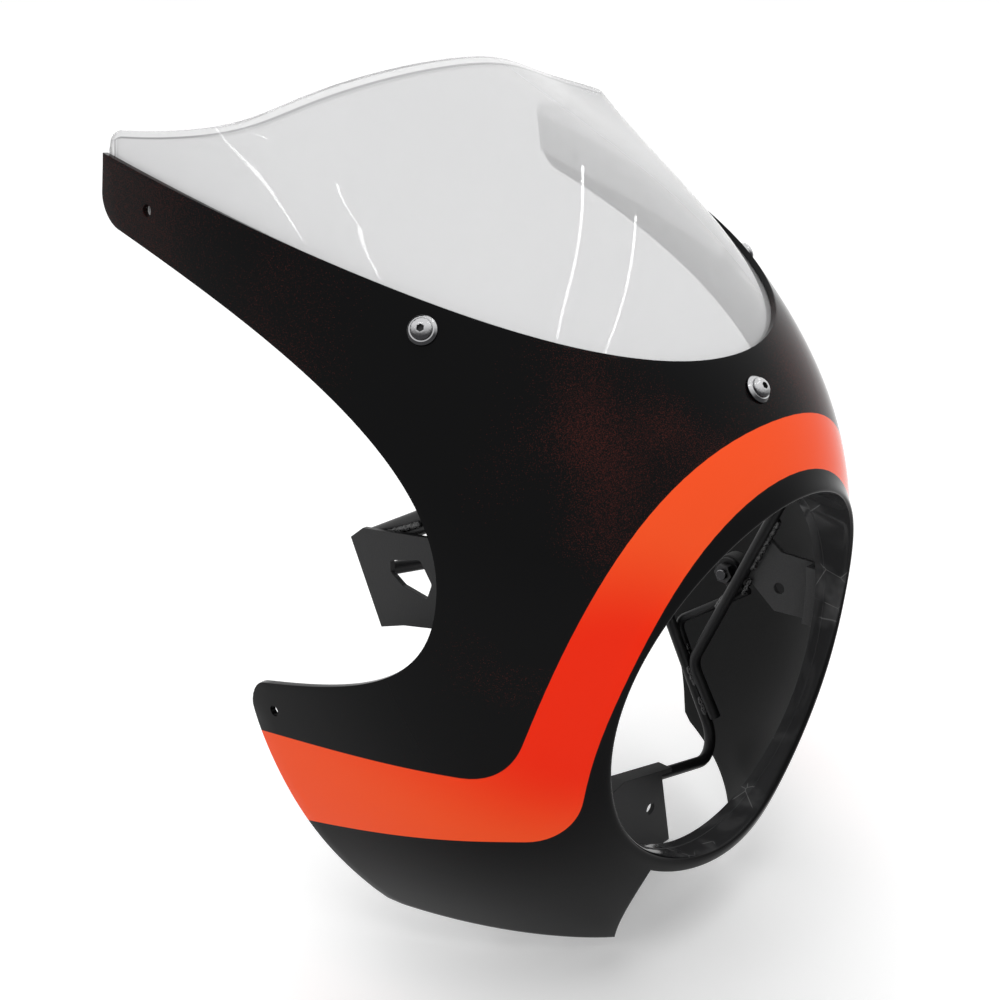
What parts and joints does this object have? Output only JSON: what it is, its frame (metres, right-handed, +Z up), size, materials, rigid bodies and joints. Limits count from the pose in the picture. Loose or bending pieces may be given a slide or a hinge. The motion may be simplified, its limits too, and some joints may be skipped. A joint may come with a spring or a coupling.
{
  "type": "motorcycle headlight cowl",
  "caption": "Moulded headlight cowl with a round opening, swept arms and wings, a clear screen on top and a bent steel mounting frame inside.",
  "frame": {"origin": "centre of the round headlight opening, on the plane of its flange's rear rim", "axes": "-Y the way the headlight faces, +Z up, +X across; symmetric across X"},
  "size_m": [0.3108, 0.2856, 0.4156],
  "materials": {
    "shell_plastic": "moulded plastic, satin-gloss black with fine red flake and an orange stripe round the opening and along the wings",
    "clear_screen": "clear moulded plastic, polished",
    "frame_steel": "welded steel in satin black",
    "stainless": "bright stainless steel",
    "rubber": "matt black rubber"
  },
  "bodies": {
    "root": {"cowl_shell": "shell_plastic", "windscreen": "clear_screen", "screw_left": "stainless", "screw_centre": "stainless", "screw_right": "stainless", "cup_washer_left": "stainless", "cup_washer_centre": "stainless", "cup_washer_right": "stainless", "rubber_nut_left": "rubber", "rubber_nut_centre": "rubber", "rubber_nut_right": "rubber", "side_hoop_left": "frame_steel", "side_hoop_right": "frame_steel", "brace_left": "frame_steel", "brace_right": "frame_steel", "strut_left": "frame_steel", "strut_right": "frame_steel", "front_plate_left": "frame_steel", "front_plate_right": "frame_steel", "rear_plate_left": "frame_steel", "rear_plate_right": "frame_steel", "rear_crossbar": "frame_steel", "lower_crossbar": "frame_steel", "lower_plate": "frame_steel", "lug_left": "frame_steel", "lug_right": "frame_steel", "buffer_left": "rubber", "buffer_right": "rubber", "buffer_bolt_left": "stainless", "buffer_bolt_right": "stainless", "buffer_nut_left": "stainless", "buffer_nut_right": "stainless"}
  },
  "joints": []
}
